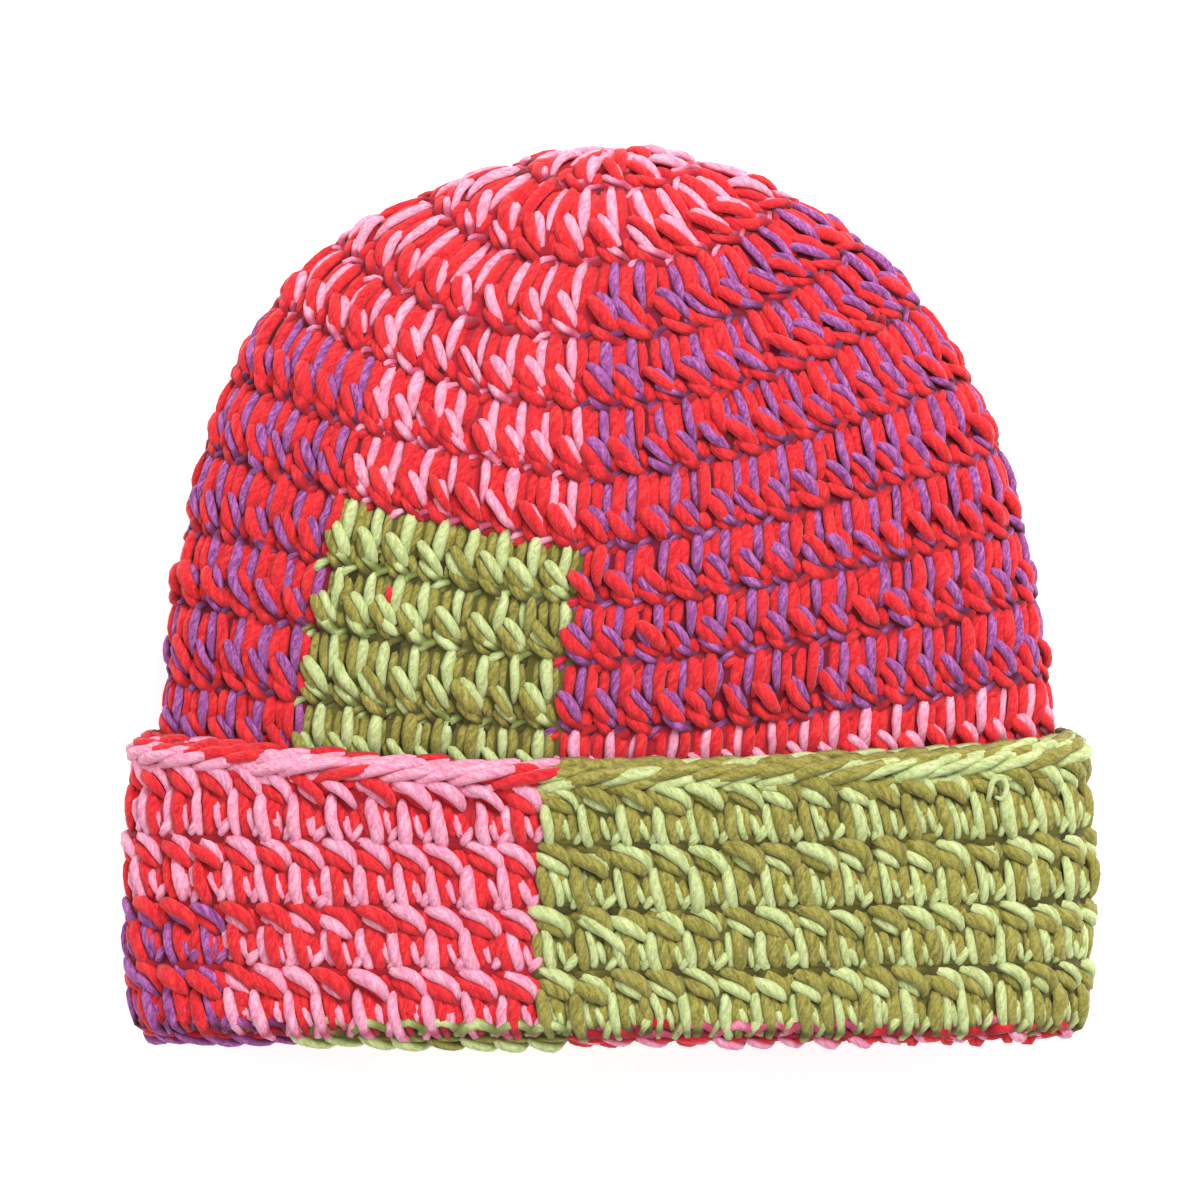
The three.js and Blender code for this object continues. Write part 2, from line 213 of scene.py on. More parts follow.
def half_round(s, is_front, count):
    """Points spaced by stitches along the front or back half of a section."""
    angle = np.linspace(-math.pi / 2, math.pi / 2, RING_STEPS + 1)
    if not is_front:
        angle = -angle
    power = 2 / (s["front_square"] if is_front else s["under_square"])
    across = np.sign(np.sin(angle)) * np.abs(np.sin(angle)) ** power
    up = np.abs(np.cos(angle)) ** power
    height = (s["top"] if is_front else s["under"]) - s["fold"]
    points = np.stack([
        s["lean"] + s["width"] * across,
        s["front_y"] + (s["side_y"] - s["front_y"]) * np.abs(across) ** s["bow"],
        s["fold"] + height * up,
    ], axis=1)
    lengths = np.concatenate([[0], np.cumsum(np.linalg.norm(np.diff(points, axis=0), axis=1))])
    even = np.arange(count) / count
    along = (even - FOLD_CROWDING / (2 * math.pi) * np.sin(2 * math.pi * even)) * lengths[-1]
    return np.stack([np.interp(along, lengths, points[:, k]) for k in range(3)], axis=1)


def whole_round(place):
    """Points of the wall's middle right round the hat, at a round."""
    count = int(HALF_STITCHES * STEPS_PER_STITCH)

    def straight(at):
        section = body_section(at) if at <= TURN_START else cuff_section(at)
        return np.concatenate([half_round(section, True, count), half_round(section, False, count)])

    if place <= TURN_START or place >= TURN_END:
        return straight(place)
    turned = math.pi * (place - TURN_START) / (TURN_END - TURN_START)
    inside, outside = straight(TURN_START), straight(TURN_END)
    points = inside + (outside - inside) * (1 - math.cos(turned)) / 2
    points[:, 1] -= TURN_RADIUS * math.sin(turned)
    return points


def make_sheet():
    """The table of the wall's middle and of its outward direction on the fabric's right side."""
    places = np.arange(0, SHEET_END + 1 / STEPS_PER_ROUND, 1 / STEPS_PER_ROUND)
    points = np.array([whole_round(max(place, SHEET_START)) for place in places])
    along = np.gradient(points, axis=0)
    across = np.roll(points, -1, axis=1) - np.roll(points, 1, axis=1)
    across[0] = across[1]
    normals = np.cross(along, across)
    normals /= np.linalg.norm(normals, axis=2, keepdims=True)
    return points, normals


SHEET_POINTS, SHEET_NORMALS = make_sheet()

# The last place in the table that still has a row after it, and how many columns the table has
LAST_ROW = len(SHEET_POINTS) - 1.001
COLUMNS = STITCHES * STEPS_PER_STITCH


def on_sheet(place, stitch):
    """The wall's middle and its direction outwards, at arrays of rounds and stitches."""
    row = np.clip(place * STEPS_PER_ROUND, 0, LAST_ROW)
    column = (stitch * STEPS_PER_STITCH) % COLUMNS
    i = np.floor(row).astype(int)
    j = np.floor(column).astype(int) % COLUMNS
    u = (row - i)[..., None]
    w = (column - np.floor(column))[..., None]
    k = (j + 1) % COLUMNS

    def blend(table):
        return (1 - u) * ((1 - w) * table[i, j] + w * table[i, k]) \
            + u * ((1 - w) * table[i + 1, j] + w * table[i + 1, k])

    normal = blend(SHEET_NORMALS)
    normal /= np.linalg.norm(normal, axis=-1, keepdims=True)
    return blend(SHEET_POINTS), normal


def drifted(stitch, place):
    """Where a stitch is once its column has drifted."""
    return stitch + np.interp(place, DRIFT["round"], DRIFT["stitches"])


# How softly the yarn gives way to the surface that it lies on, in millimetres
PRESS_SOFTNESS = 0.6


def pressed(points):
    """Points in millimetres, with what lies on the surface pressed flat against it."""
    z = points[..., 2]
    points[..., 2] = 0.5 * (z + np.sqrt(z * z + PRESS_SOFTNESS ** 2))
    return points


# The strands of a stitch. across is in stitches from the stitch's left edge, down in rounds from the
# top of its row as the photograph shows it, and height in millimetres over the wall's middle. width
# is a yarn's radius. phase is how the two yarns lie beside each other, in degrees: at 0 the pale one
# is to the left of a strand that runs down and below one that runs to the right, at 90 it is on top,
# at 180 to the right or above. swing is how much that varies, and turn how far the pair twists. Where
# yarns is given, the strand has only that one: 0 is the dark yarn and 1 the pale one.
RIGHT_SIDE = [
    {"name": "post", "steps": 6, "width": 1.55, "phase": 5, "swing": 26, "turn": 15,
     "path": [(0.36, -0.03, 0.5), (0.365, 0.1, 1.2), (0.37, 0.3, 1.3), (0.38, 0.5, 0.9),
              (0.38, 0.72, -0.5)]},
    {"name": "between", "steps": 4, "width": 1.6, "phase": 0, "swing": 50, "turn": 0, "yarns": (0,),
     "path": [(-0.12, 0.0, 0.0), (-0.12, 0.14, 0.4), (-0.12, 0.4, 0.3), (-0.1, 0.66, -0.8)]},
    {"name": "upper_loop", "steps": 7, "width": 1.5, "phase": 190, "swing": 30, "turn": 25,
     "path": [(-0.43, 0.46, -0.2), (-0.28, 0.53, 1.3), (-0.05, 0.66, 2.0), (0.2, 0.81, 1.6),
              (0.42, 0.94, -0.2)]},
    {"name": "lower_loop", "steps": 6, "width": 1.3, "phase": 190, "swing": 40, "turn": 20,
     "path": [(-0.3, 0.76, -0.3), (-0.12, 0.84, 1.1), (0.14, 0.94, 1.7), (0.4, 1.01, 1.2),
              (0.62, 1.07, -0.3)]},
    {"name": "top_arc", "steps": 4, "width": 1.0, "phase": 170, "swing": 30, "turn": 0,
     "path": [(-0.6, 1.17, -0.6), (-0.48, 1.09, 1.2), (-0.3, 1.02, 1.5), (-0.1, 0.99, 0.2)]},
    {"name": "gap_fill", "steps": 4, "width": 1.7, "phase": 0, "swing": 0, "turn": 0, "yarns": (0,),
     "path": [(0.44, 0.66, -0.3), (0.5, 0.78, 0.3), (0.6, 0.9, 0.3), (0.7, 1.04, -0.3)]},
]

WRONG_SIDE = [
    {"name": "bar", "steps": 8, "width": 1.78, "phase": 172, "swing": 26, "turn": 20,
     "path": [(-0.08, 0.05, -0.2), (0.2, 0.1, 1.2), (0.5, 0.17, 1.8), (0.79, 0.29, 1.5),
              (0.96, 0.45, -0.3)]},
    {"name": "leg", "steps": 7, "width": 1.65, "phase": 8, "swing": 24, "turn": -20,
     "path": [(0.2, 0.28, -0.6), (0.27, 0.46, 1.1), (0.37, 0.7, 1.6), (0.47, 0.92, 1.2),
              (0.54, 1.07, -0.5)]},
    {"name": "inner_leaf", "steps": 4, "width": 1.15, "phase": 0, "swing": 0, "turn": 0, "yarns": (1,),
     "path": [(0.64, 0.5, -0.2), (0.71, 0.62, 1.3), (0.83, 0.8, 1.4), (0.94, 0.96, -0.2)]},
    {"name": "slash", "steps": 4, "width": 1.3, "phase": 0, "swing": 0, "turn": 0, "yarns": (1,),
     "path": [(1.24, 0.66, -0.1), (1.15, 0.77, 1.5), (1.02, 0.89, 1.7), (0.88, 1.02, 0.0)]},
    {"name": "middle_fill", "steps": 4, "width": 1.75, "phase": 0, "swing": 0, "turn": 0, "yarns": (0,),
     "path": [(0.42, 0.36, -0.4), (0.55, 0.5, 0.3), (0.68, 0.72, 0.4), (0.8, 1.02, -0.4)]},
    {"name": "right_fill", "steps": 4, "width": 1.75, "phase": 0, "swing": 0, "turn": 0, "yarns": (0,),
     "path": [(0.88, 0.48, -0.3), (0.95, 0.62, 0.4), (1.04, 0.8, 0.4), (1.1, 1.02, -0.4)]},
    {"name": "row_fill", "steps": 4, "width": 1.7, "phase": 0, "swing": 0, "turn": 0, "yarns": (0,),
     "path": [(-0.2, 1.0, 0.2), (0.25, 1.04, 0.7), (0.8, 1.02, 0.7), (1.2, 1.0, 0.2)]},
    {"name": "top_fill", "steps": 4, "width": 1.6, "phase": 0, "swing": 0, "turn": 0, "yarns": (0,),
     "path": [(0.6, 0.0, 0.0), (0.86, 0.08, 0.7), (1.06, 0.2, 0.5), (1.16, 0.36, -0.3)]},
]
# How many of these strands a side that is hardly seen has, and the one that fills the hem between them
PLAIN_STRANDS = 3
HEM_FILL = {"name": "hem_fill", "steps": 6, "width": 1.6, "phase": 0, "swing": 0, "turn": 0,
            "yarns": (0,), "path": [(-0.1, 0.1, 0.3), (0.3, 0.06, 0.7), (0.7, 0.06, 0.7), (1.1, 0.1, 0.3)]}

# The loops of the hem's last round, which come up between the cuff's first stitches
FOLD_LOOP = {"name": "fold_loop", "steps": 6, "width": 1.5, "phase": 172, "swing": 26, "turn": 20,
             "path": [(-0.15, -0.04, 0.8), (0.15, -0.14, 1.2), (0.5, -0.2, 1.3), (0.85, -0.14, 1.2),
                      (1.15, -0.04, 0.8)]}

# The chain along the cuff's free edge
RIM_CHAIN = [
    {"name": "outer_loop", "steps": 9, "width": 1.6, "phase": 10, "swing": 20, "turn": 30,
     "path": [(-0.6, 1.08, -0.8), (-0.2, 0.92, 1.1), (0.4, 0.7, 2.1), (1.0, 0.5, 1.8),
              (1.6, 0.3, -0.4)]},
    {"name": "inner_loop", "steps": 8, "width": 1.4, "phase": 200, "swing": 20, "turn": 20,
     "path": [(-0.4, 0.7, -0.4), (-0.05, 0.5, -0.6), (0.5, 0.3, -0.9), (1.1, 0.1, -0.7),
              (1.5, 0.0, 0.0)]},
    {"name": "fill", "steps": 4, "width": 1.6, "phase": 90, "swing": 40, "turn": 0,
     "path": [(-0.3, 0.6, 0.0), (0.1, 0.4, 0.1), (0.6, 0.3, 0.1), (1.0, 0.4, 0.0)]},
    {"name": "lower_fill", "steps": 4, "width": 1.4, "phase": 200, "swing": 40, "turn": 0,
     "path": [(-0.3, 1.0, 0.1), (0.1, 1.12, 0.6), (0.6, 1.06, 0.8), (1.0, 0.9, 0.3)]},
]

# Yarns that lie across the stitches: round, stitch and height of each point
LOOSE_YARNS = [
    {"patch": "cuff_green", "yarn": 1, "width": 1.35, "steps": 8,
     "path": [(15.95, 15.2, 0.8), (15.75, 15.7, 2.5), (15.45, 16.3, 2.8), (15.1, 16.95, 1.0)]},
    {"patch": "cuff_green", "yarn": 1, "width": 0.9, "steps": 14,
     "path": [(17.5, 26.6, 1.6), (17.66, 26.62, 3.4), (17.83, 26.72, 3.8), (17.86, 26.98, 3.9),
              (17.72, 27.14, 3.8), (17.57, 27.0, 3.7), (17.6, 26.78, 3.2)]},
    {"patch": "front_pink", "yarn": 0, "width": 1.25, "steps": 4,
     "path": [(7.2, 8.96, 0.9), (7.28, 9.03, 2.2), (7.4, 9.08, 2.2), (7.5, 9.12, 0.9)]},
]

# Stretches of a round, in stitches, where one of the two yarns lies over the other
RUNS = [
    {"round": 18, "left": 0, "right": 3.2, "phase": 50},
    {"round": 18, "left": 3.2, "right": 5.6, "phase": 325},
    {"round": 18, "left": 5.6, "right": 12.2, "phase": 80},
    {"round": 18, "left": 12.2, "right": 14, "phase": 275},
    {"round": 18, "left": 15, "right": 22, "phase": 330},
    {"round": 18, "left": 22, "right": 29, "phase": 60},
    {"round": 17, "left": 8, "right": 13, "phase": 100},
    {"round": 15, "left": 5, "right": 10, "phase": 328},
]
RUN_SWING = 18

# Elsewhere the pair swings to and fro once over WANDER_LENGTH stitches along a round. From one round to
# the next it starts a share of that further on, between the two of WANDER_STEP, and each stitch strays
# by a share of the swing.
WANDER_LENGTH = 13
WANDER_STEP = (0.2, 0.8)
STITCH_SWING = 0.6

# The sides of a yarn's section where it is seen and where it is hardly seen, and how many of its steps
# and how much of its width it has in the second case
SIDES_FINE = 6
SIDES_PLAIN = 5
PLAIN_STEPS = 0.5
FEWEST_STEPS = 3
PLAIN_WIDTH = 1.15

# A yarn's section and ends: its height as a share of its width, its width at the ends, how round these
# are, how lumpy it is and how often, its twist in radians a millimetre, and how far the two yarns of a
# pair stand apart, as a share of their width
YARN_FLAT = 0.93
END_TAPER = 0.38
START_ROUNDING = 0.45
END_ROUNDING = 0.8
LUMPS = 0.09
LUMP_PACE = 5
TWIST = 0.45
PAIR_SPREAD = 0.9

# A yarn's fibres are those of any place along this length, in millimetres
YARN_LENGTH = 1000

# How unevenly the crochet is made: the spread of each stitch's place in stitches and rounds and of its
# size, of each strand's place, of its bends in stitches and millimetres, and of each yarn's bulk
STITCH_SHIFT = 0.05
STITCH_DROP = 0.018
STITCH_SIZE = 0.045
STRAND_SHIFT = 0.035
STRAND_DROP = 0.015
BEND_SHIFT = 0.03
BEND_HEIGHT = 0.15
YARN_BULK = 0.08

# The places nearest the middle of the crown that strands and the core reach, in rounds
STRAND_START = 0.04
CORE_START = 0.05

# For each pair of yarns, on the body and on the cuff: the widths of the dark and the pale one, how far
# the pale one is turned to the top, in degrees, and how many of the pairs lie the other way round
SHARES = {
    "marl_red_pink": {
        "body": {"widths": (1.08, 0.92), "lift": 0, "flipped": 0.07},
        "cuff": {"widths": (1.02, 1.02), "lift": 0, "flipped": 0.07},
    },
    "marl_red_purple": {
        "body": {"widths": (1.13, 0.87), "lift": 0, "flipped": 0.16},
        "cuff": {"widths": (1.12, 0.88), "lift": 0, "flipped": 0.3},
    },
    "marl_green": {
        "body": {"widths": (0.97, 1.03), "lift": 22, "flipped": 0.15},
        "cuff": {"widths": (1.08, 0.92), "lift": 0, "flipped": 0.38},
    },
}

# How much darker a strand is painted where it dips between two rounds, a painted shade line, as
# millimetres of height, and how wide that painted line is, in rounds. The rim lies free: it has no painted
# line, and none of it is painted in shade as if it were lower than its floor.
PAINTED_LINE_SHADE = 3.9
LINE_WIDTH = 0.055
RIM_FLOOR = 1.0

# How much darker a yarn is painted at its two edges than along its top, as painted shade, in millimetres
# of height
PAINTED_EDGE_SHADE = 1.6

# The strands inside the hat stay on their own side of the wall
INSIDE_FLOOR = 0.3


class Mesh:
    """Vertices and faces gathered for one piece."""

    def __init__(self):
        self.points, self.yarn, self.height, self.loops, self.sizes, self.slots = [], [], [], [], [], []
        self.count = 0

    def add(self, points, yarn, height, faces, slot):
        """faces holds rows of indices into these points, all of one length."""
        self.points.append(points)
        self.yarn.append(yarn)
        self.height.append(height)
        self.loops.append((faces + self.count).ravel())
        self.sizes.append(np.full(len(faces), faces.shape[1]))
        self.slots.append(np.full(len(faces), slot))
        self.count += len(points)

    def add_faces(self, faces, slot):
        """More faces over the points that the last add brought."""
        self.loops.append(faces.ravel())
        self.sizes.append(np.full(len(faces), faces.shape[1]))
        self.slots.append(np.full(len(faces), slot))

    def build(self, name, materials):
        """The gathered mesh as an object in the scene."""
        mesh = bpy.data.meshes.new(name)
        points = pressed(np.concatenate(self.points)) * MM
        loops = np.concatenate(self.loops).astype(np.int32)
        sizes = np.concatenate(self.sizes).astype(np.int32)
        mesh.vertices.add(len(points))
        mesh.vertices.foreach_set("co", points.ravel())
        mesh.loops.add(len(loops))
        mesh.loops.foreach_set("vertex_index", loops)
        mesh.polygons.add(len(sizes))
        starts = np.concatenate([[0], np.cumsum(sizes)[:-1]]).astype(np.int32)
        mesh.polygons.foreach_set("loop_start", starts)
        for material in materials:
            mesh.materials.append(material)
        mesh.polygons.foreach_set("material_index", np.concatenate(self.slots).astype(np.int32))
        mesh.polygons.foreach_set("use_smooth", np.ones(len(sizes), dtype=bool))
        mesh.attributes.new("yarn", "FLOAT_VECTOR", "POINT").data.foreach_set(
            "vector", np.concatenate(self.yarn).astype(np.float32).ravel())
        # The height attribute sets the painted shade: the yarn's material paints it darker where this is
        # low
        mesh.attributes.new("height", "FLOAT", "POINT").data.foreach_set(
            "value", np.concatenate(self.height).astype(np.float32))
        mesh.update(calc_edges=True)
        mesh.validate()
        thing = bpy.data.objects.new(name, mesh)
        bpy.context.collection.objects.link(thing)
        return thing


def through_points(controls, steps):
    """Smooth curves through control points: (strands, controls, 3) becomes (strands, steps + 1, 3)."""
    before = 2 * controls[:, :1] - controls[:, 1:2]
    after = 2 * controls[:, -1:] - controls[:, -2:-1]
    known = np.concatenate([before, controls, after], axis=1)
    place = np.linspace(0, controls.shape[1] - 1, steps + 1)
    i = np.minimum(np.floor(place).astype(int), controls.shape[1] - 2)
    u = (place - i)[None, :, None]
    a, b, c, d = (known[:, i + k] for k in range(4))
    return b + 0.5 * u * (c - a + u * (2 * a - 5 * b + 4 * c - d + u * (3 * (b - c) + d - a)))


def unit(vectors):
    """The same directions, one long."""
    return vectors / np.maximum(np.linalg.norm(vectors, axis=-1, keepdims=True), 1e-9)


def add_tubes(mesh, centres, side, up, radius, height, slot, rng, sides):
    """One closed yarn along each row of centres, with its cross-section in the side and up directions.
    height is how far the centres are over the wall's middle, less the painted shade between rounds."""
    strands, rings, _ = centres.shape
    angle = 2 * math.pi * np.arange(sides) / sides
    ring_side = np.cos(angle)[None, None, :, None] * side[:, :, None, :]
    ring_up = np.sin(angle)[None, None, :, None] * up[:, :, None, :] * YARN_FLAT
    points = centres[:, :, None, :] + radius[:, :, None, None] * (ring_side + ring_up)
    lengths = np.cumsum(np.linalg.norm(np.diff(centres, axis=1, prepend=centres[:, :1]), axis=2), axis=1)
    start = rng.uniform(0, YARN_LENGTH, (strands, 1))
    yarn = np.empty((strands, rings, sides, 3))
    yarn[..., 0] = np.cos(angle + TWIST * lengths[:, :, None])
    yarn[..., 1] = np.sin(angle + TWIST * lengths[:, :, None])
    yarn[..., 2] = (lengths + start)[:, :, None]
    # Painted shade: this attribute is lower, so the colour darker, where the yarn lies low and at its two
    # edges
    heights = height[:, :, None] + radius[:, :, None] * np.sin(angle) * YARN_FLAT \
        + PAINTED_EDGE_SHADE * (np.sin(angle) - 1)
    first = np.arange(strands)[:, None, None] * rings * sides
    ring = np.arange(rings - 1)[None, :, None] * sides
    k = np.arange(sides)[None, None, :]
    n = (k + 1) % sides
    quads = np.stack(np.broadcast_arrays(
        first + ring + k, first + ring + n, first + ring + sides + n, first + ring + sides + k), axis=-1)
    starts = mesh.count + (np.arange(strands) * rings * sides)[:, None]
    mesh.add(points.reshape(-1, 3), yarn.reshape(-1, 3), heights.ravel(), quads.reshape(-1, 4), slot)
    start_cap = starts + np.arange(sides)[None, ::-1]
    end_cap = starts + (rings - 1) * sides + np.arange(sides)
    mesh.add_faces(np.concatenate([start_cap, end_cap]), slot)


# The hem's last round, how far the cuff's first stitches reach over the fold, where the hem's last ones
# start below it, and the share of their height that the fold leaves these
HEM_LAST = CUFF_START - 1
FOLD_REACH = 1.12
FOLD_INSET = 0.12
FOLD_PRESS = 0.5


def phases(stitches, strand, rng):
    """How the two yarns lie in each stitch, in degrees: the pair swings slowly along a round, and lies
    as RUNS says where one of them is."""
    count = len(stitches["row"])
    turns = stitches["left"] / WANDER_LENGTH + rng.random() + stitches["row"] * rng.uniform(*WANDER_STEP)
    strays = np.sin(2 * math.pi * turns) + rng.normal(0, STITCH_SWING, count)
    found = strand["phase"] + strand["swing"] * strays
    for run in RUNS:
        inside = (stitches["row"] == run["round"]) & (stitches["left"] >= run["left"]) \
            & (stitches["left"] < run["right"])
        found = np.where(inside, run["phase"] + rng.normal(0, RUN_SWING, count), found)
    found = found + stitches["share"]["lift"] * np.cos(np.radians(found))
    return found[:, None]


def directions(centres, outward):
    """Across each yarn, along the fabric and out of it."""
    tangent = unit(np.gradient(centres, axis=1))
    side = unit(np.cross(tangent, outward))
    return side, unit(np.cross(side, tangent))


def tapered(share):
    """A yarn's width along its length: a rounded start and a more pointed end."""
    rounding = np.where(share < 0.5, START_ROUNDING, END_ROUNDING)
    return END_TAPER + (1 - END_TAPER) * np.maximum(np.sin(math.pi * share), 0) ** rounding


def add_loose_yarn(mesh, loose, rng):
    """One of the yarns that lie across the stitches."""
    local = through_points(np.array([loose["path"]], dtype=float), loose["steps"])
    place = local[:, :, 0]
    point, normal = on_sheet(place, drifted(local[:, :, 1], place))
    outward = normal if place.max() < CUFF_START else -normal
    height = local[:, :, 2]
    point = point + outward * height[:, :, None]
    side, up = directions(point, outward)
    radius = loose["width"] * tapered(np.linspace(0, 1, loose["steps"] + 1)[None, :])
    add_tubes(mesh, point, side, up, radius, height, loose["yarn"], rng, SIDES_FINE)


def add_strands(mesh, stitches, strand, rng, is_right, is_fine):
    """The yarns of one strand of every stitch in the list."""
    count = len(stitches["row"])
    controls = np.repeat(np.array(strand["path"], dtype=float)[None], count, axis=0)
    controls[:, :, 0] += stitches["shift"][:, None] + rng.normal(0, STRAND_SHIFT, (count, 1))
    controls[:, :, 1] += stitches["drop"][:, None] + rng.normal(0, STRAND_DROP, (count, 1))
    controls[:, 1:-1, 0] += rng.normal(0, BEND_SHIFT, (count, controls.shape[1] - 2))
    controls[:, 1:-1, 2] += rng.normal(0, BEND_HEIGHT, (count, controls.shape[1] - 2))
    steps = strand["steps"] if is_fine else max(FEWEST_STEPS, round(strand["steps"] * PLAIN_STEPS))
    local = through_points(controls, steps)
    if not is_fine:
        local[:, :, 2] = np.maximum(local[:, :, 2], INSIDE_FLOOR)
    row = stitches["row"][:, None]
    down = local[:, :, 1]
    if not is_right:
        down = np.where(row == CUFF_START, down * FOLD_REACH, down)
        down = np.where(row == HEM_LAST, FOLD_INSET + down * (1 - FOLD_INSET), down)
        local[:, :, 2] *= np.where(row == HEM_LAST, FOLD_PRESS, 1)
    place = row + down if is_right else row + 1 - down
    place = np.maximum(place, STRAND_START)
    stitch = stitches["left"][:, None] + local[:, :, 0] * stitches["pitch"][:, None]
    point, normal = on_sheet(place, drifted(stitch, place))
    outward = normal if is_right else -normal
    rise = local[:, :, 2] - RIB_DEPTH / 2 * np.cos(2 * math.pi * place)
    point = point + outward * rise[:, :, None]
    side, up = directions(point, outward)
    share = np.linspace(0, 1, steps + 1)[None, :]
    phase = phases(stitches, strand, rng) + strand["turn"] * (share - 0.5)
    phase = np.radians(phase + 180 * (rng.random((count, 1)) < stitches["share"]["flipped"]))
    fullness = 1 if is_fine else PLAIN_WIDTH
    width = strand["width"] * fullness * stitches["size"][:, None] * tapered(share)
    # Painted shade: the colour is darkened along the line between two rounds, but not on the rim
    line = PAINTED_LINE_SHADE * np.exp(-((place - np.round(place)) / LINE_WIDTH) ** 2)
    shade = np.where(row < RIM_ROUND, rise - line, np.maximum(rise, RIM_FLOOR))
    yarns = strand.get("yarns", (0, 1))
    spread = PAIR_SPREAD if len(yarns) == 2 else 0
    apart = np.cos(phase)[..., None] * side + np.sin(phase)[..., None] * up
    offset = apart * width[..., None] * spread
    sides = SIDES_FINE if is_fine else SIDES_PLAIN
    for slot in yarns:
        sign = 2 * slot - 1
        bulk = width * stitches["share"]["widths"][slot] * (1 + rng.normal(0, YARN_BULK, (count, 1)))
        bulk = bulk * (1 + LUMPS * np.sin(LUMP_PACE * share + rng.uniform(0, 2 * math.pi, (count, 1))))
        height = shade + sign * np.sin(phase) * width * spread
        add_tubes(mesh, point + sign * offset, side, up, bulk, height, slot, rng, sides)


def stitches_of(patch, rng):
    """Where the stitches of a patch are, row by row."""
    found = {"row": [], "left": [], "pitch": []}
    for row in range(patch["from"], patch["to"]):
        count = min(FIRST_STITCHES * (row + 1), STITCHES)
        pitch = STITCHES / count
        for i in range(round(patch["left"] / pitch), round(patch["right"] / pitch)):
            found["row"].append(row)
            found["left"].append(i * pitch)
            found["pitch"].append(pitch)
    found = {key: np.array(values, dtype=float) for key, values in found.items()}
    count = len(found["row"])
    found["shift"] = rng.normal(0, STITCH_SHIFT, count)
    found["drop"] = rng.normal(0, STITCH_DROP, count)
    found["size"] = 1 + rng.normal(0, STITCH_SIZE, count)
    found["share"] = SHARES[patch["slot"]]["cuff" if patch["from"] >= CUFF_START else "body"]
    return found


def some_of(stitches, kept):
    """The stitches of a list that are kept."""
    chosen = {key: stitches[key][kept] for key in ("row", "left", "pitch", "shift", "drop", "size")}
    return {**chosen, "share": stitches["share"]}


# The core: half its thickness in millimetres, the rounds where it passes from the hem to the cuff and
# where it ends inside the rim, how finely it is divided, and its place among a piece's materials
CORE_HALF = 0.9
CORE_TURN = 13.8
CORE_END = 18.7
CORE_STEPS_PER_ROUND = 4
CORE_STEPS_PER_STITCH = 2
CORE_SLOT = 2


def add_core(mesh, patch):
    """A thin layer of packed yarn in the middle of the fabric, which the gaps between strands open on, its
    dark colour painted shade.
    """
    span = patch["right"] - patch["left"]
    is_ring = span == STITCHES
    start = CORE_TURN if patch["from"] == CUFF_START else patch["from"]
    end = CORE_TURN if patch["to"] == CUFF_START else min(patch["to"], CORE_END)
    rows = np.linspace(start, end, math.ceil((end - start) * CORE_STEPS_PER_ROUND) + 1)
    columns = np.linspace(patch["left"], patch["right"], span * CORE_STEPS_PER_STITCH + 1)
    if is_ring:
        columns = columns[:-1]
    place, stitch = np.meshgrid(np.maximum(rows, CORE_START), columns, indexing="ij")
    point, normal = on_sheet(place, drifted(stitch, place))
    high, wide = place.shape
    both = np.concatenate([point + normal * CORE_HALF, point - normal * CORE_HALF]).reshape(-1, 3)
    behind = high * wide
    i = np.arange(high - 1)[:, None] * wide
    j = np.arange(wide if is_ring else wide - 1)[None, :]
    n = (j + 1) % wide
    front = np.stack(np.broadcast_arrays(i + j, i + wide + j, i + wide + n, i + n), -1)
    back = front[..., ::-1] + behind
    upper, upper_next = j.ravel(), n.ravel()
    lower, lower_next = (high - 1) * wide + upper, (high - 1) * wide + upper_next
    faces = [
        front.reshape(-1, 4),
        back.reshape(-1, 4),
        np.stack([upper, upper_next, upper_next + behind, upper + behind], -1),
        np.stack([lower, lower + behind, lower_next + behind, lower_next], -1),
    ]
    if not is_ring:
        left = i.ravel()
        right = left + wide - 1
        faces.append(np.stack([left, left + behind, left + wide + behind, left + wide], -1))
        faces.append(np.stack([right, right + wide, right + wide + behind, right + behind], -1))
    mesh.add(both, both * 0, both[:, 0] * 0, np.concatenate(faces), CORE_SLOT)


def node(tree, kind, inputs=None, **settings):
    """A shader node with its settings and input values."""
    made = tree.nodes.new(kind)
    for key, value in settings.items():
        setattr(made, key, value)
    for key, value in (inputs or {}).items():
        if isinstance(value, bpy.types.NodeSocket):
            tree.links.new(value, made.inputs[key])
        else:
            made.inputs[key].default_value = value
    return made


def linear(red, green, blue):
    """A colour as seen on screen, 0 to 255, as the light that it reflects."""
    def channel(value):
        value /= 255
        return value / 12.92 if value <= 0.04045 else ((value + 0.055) / 1.055) ** 2.4
    return (channel(red), channel(green), channel(blue), 1)


def darker(colour, share):
    """A colour with a share of its light."""
    return tuple(share * value for value in colour[:3]) + (1,)


def smooth_range(tree, value, ends):
    """From 0 at the first end to 1 at the second, smoothly."""
    settings = {"Value": value, "From Min": ends[0], "From Max": ends[1]}
    made = node(tree, "ShaderNodeMapRange", settings, interpolation_type="SMOOTHSTEP")
    return made.outputs["Result"]


# How fine the fibres are, across and along a yarn, how widely their shades are spread, and the depth of
# the grooves between them in metres
FIBRE_SCALE = (1.3, 1.3, 0.16)
FIBRE_NOISE = {"Scale": 1.6, "Detail": 4.0, "Roughness": 0.68}
FIBRE_GROOVES = {"Strength": 0.35, "Distance": 0.0006}
STREAK = 0.14

# The heights, in millimetres, between which a yarn goes from its painted shade colour to its full colour,
# and between which it goes from the darkest painted shade lines to its painted shade colour, with the
# share of light left in those lines
LIT_HEIGHTS = (-1.8, 1.6)
REACHED_HEIGHTS = (-4.0, -1.2)
LINE_DARKNESS = 0.36

# How much of the yarn's own colour its sheen has
SHEEN_DYE = 0.5


